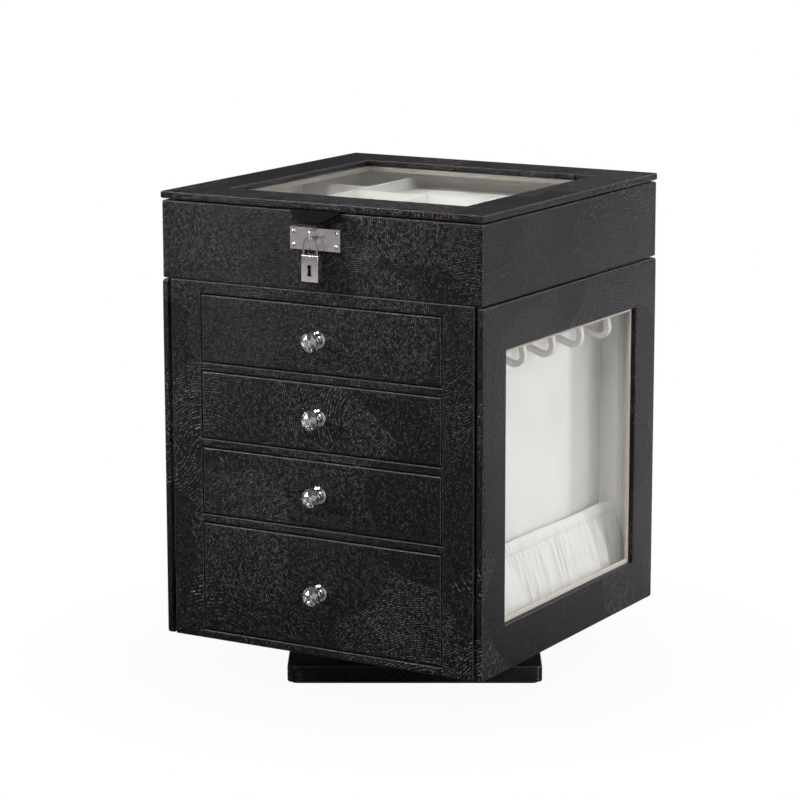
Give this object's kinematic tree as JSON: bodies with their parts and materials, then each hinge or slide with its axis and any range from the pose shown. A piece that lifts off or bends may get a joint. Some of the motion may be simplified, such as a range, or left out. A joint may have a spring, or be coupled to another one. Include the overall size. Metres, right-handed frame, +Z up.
{
  "type": "rotating jewelry organizer",
  "caption": "Square cabinet on a turntable base, with knobbed drawers in front, glazed side doors over hook compartments, and a glazed lid over a lined tray.",
  "frame": {"origin": "centre of the base's underside, on the axis that the cabinet turns about", "axes": "+Z up, -Y towards the drawer fronts, +X towards the right side door"},
  "size_m": [0.2602, 0.2873, 0.3493],
  "materials": {
    "black_leatherette": "black embossed artificial leather, semi-matt",
    "cream_lining": "short-pile cream velvet",
    "cream_plastic": "cream moulded plastic, satin",
    "wood_board": "raw fibreboard",
    "window_glass": "clear flat glass",
    "cut_crystal": "clear faceted crystal, polished",
    "knob_chrome": "polished chrome",
    "nickel_plate": "nickel plated steel, satin",
    "zinc_steel": "zinc plated pressed steel",
    "bearing_steel": "polished steel",
    "magnet": "nickel plated magnet",
    "base_felt": "black felt sheet"
  },
  "bodies": {
    "base": {"base_pad": "base_felt", "base_plinth": "black_leatherette", "turntable_lower_plate": "zinc_steel", "turntable_lower_screws": "zinc_steel"},
    "ball_ring": {"turntable_balls": "bearing_steel"},
    "cabinet": {"turntable_upper_plate": "zinc_steel", "turntable_upper_screws": "zinc_steel", "bottom_board": "wood_board", "front_frame": "black_leatherette", "back_panel": "black_leatherette", "partitions": "wood_board", "drawer_shelves": "wood_board", "side_posts": "wood_board", "left_compartment_liner": "cream_lining", "right_compartment_liner": "cream_lining", "necklace_hooks": "cream_plastic", "left_pouch": "cream_lining", "right_pouch": "cream_lining", "tray_floor": "wood_board", "tray_walls": "black_leatherette", "tray_liner": "cream_lining", "ring_rolls": "cream_lining", "lock_plate": "nickel_plate", "hinge_fixed_leaves": "zinc_steel", "hinge_pins": "zinc_steel", "door_magnets": "magnet"},
    "lid": {"lid_frame": "black_leatherette", "lid_glass": "window_glass", "lid_liner": "cream_lining", "lid_pull_tab": "black_leatherette", "lid_hinge_leaves": "zinc_steel"},
    "left_door": {"left_door_frame": "black_leatherette", "left_door_glass": "window_glass", "left_door_liner": "cream_lining", "left_door_hinge_leaves": "zinc_steel", "left_door_strikes": "zinc_steel"},
    "right_door": {"right_door_frame": "black_leatherette", "right_door_glass": "window_glass", "right_door_liner": "cream_lining", "right_door_hinge_leaves": "zinc_steel", "right_door_strikes": "zinc_steel"},
    "padlock_shackle": {"padlock_shackle": "nickel_plate"},
    "padlock_body": {"padlock_body": "nickel_plate"},
    "drawer_1": {"drawer_1_front": "black_leatherette", "drawer_1_box": "cream_lining", "drawer_1_knob_mount": "knob_chrome", "drawer_1_knob_crystal": "cut_crystal"},
    "drawer_2": {"drawer_2_front": "black_leatherette", "drawer_2_box": "cream_lining", "drawer_2_knob_mount": "knob_chrome", "drawer_2_knob_crystal": "cut_crystal"},
    "drawer_3": {"drawer_3_front": "black_leatherette", "drawer_3_box": "cream_lining", "drawer_3_knob_mount": "knob_chrome", "drawer_3_knob_crystal": "cut_crystal"},
    "drawer_4": {"drawer_4_front": "black_leatherette", "drawer_4_box": "cream_lining", "drawer_4_knob_mount": "knob_chrome", "drawer_4_knob_crystal": "cut_crystal"}
  },
  "joints": [
    {"name": "turntable_spin", "type": "hinge", "parent": "base", "child": "cabinet", "pos_m": [0, 0, 0.02], "axis": [0, 0, 1], "continuous": true},
    {"name": "ball_orbit", "type": "hinge", "parent": "base", "child": "ball_ring", "pos_m": [0, 0, 0.02], "axis": [0, 0, 1], "continuous": true},
    {"name": "lid_hinge", "type": "hinge", "parent": "cabinet", "child": "lid", "pos_m": [0, 0.1351, 0.3435], "axis": [-1, 0, 0], "range_deg": [0, 100]},
    {"name": "left_door_hinge", "type": "hinge", "parent": "cabinet", "child": "left_door", "pos_m": [-0.124, 0.1351, 0.157], "axis": [0, 0, -1], "range_deg": [0, 110]},
    {"name": "right_door_hinge", "type": "hinge", "parent": "cabinet", "child": "right_door", "pos_m": [0.124, 0.1351, 0.157], "axis": [0, 0, 1], "range_deg": [0, 110]},
    {"name": "drawer_1_slide", "type": "slide", "parent": "cabinet", "child": "drawer_1", "axis": [0, -1, 0], "range_m": [0, 0.17]},
    {"name": "drawer_2_slide", "type": "slide", "parent": "cabinet", "child": "drawer_2", "axis": [0, -1, 0], "range_m": [0, 0.17]},
    {"name": "drawer_3_slide", "type": "slide", "parent": "cabinet", "child": "drawer_3", "axis": [0, -1, 0], "range_m": [0, 0.17]},
    {"name": "drawer_4_slide", "type": "slide", "parent": "cabinet", "child": "drawer_4", "axis": [0, -1, 0], "range_m": [0, 0.17]},
    {"name": "shackle_swing", "type": "hinge", "parent": "cabinet", "child": "padlock_shackle", "pos_m": [-0.0016, -0.1365, 0.32585], "axis": [-1, 0, 0], "range_deg": [-3, 80]},
    {"name": "padlock_release", "type": "slide", "parent": "padlock_shackle", "child": "padlock_body", "axis": [0, 0, -1], "range_m": [0, 0.0045]}
  ],
  "couplings": [
    {"joint": "ball_orbit", "follows": "turntable_spin", "ratio": 0.5}
  ]
}
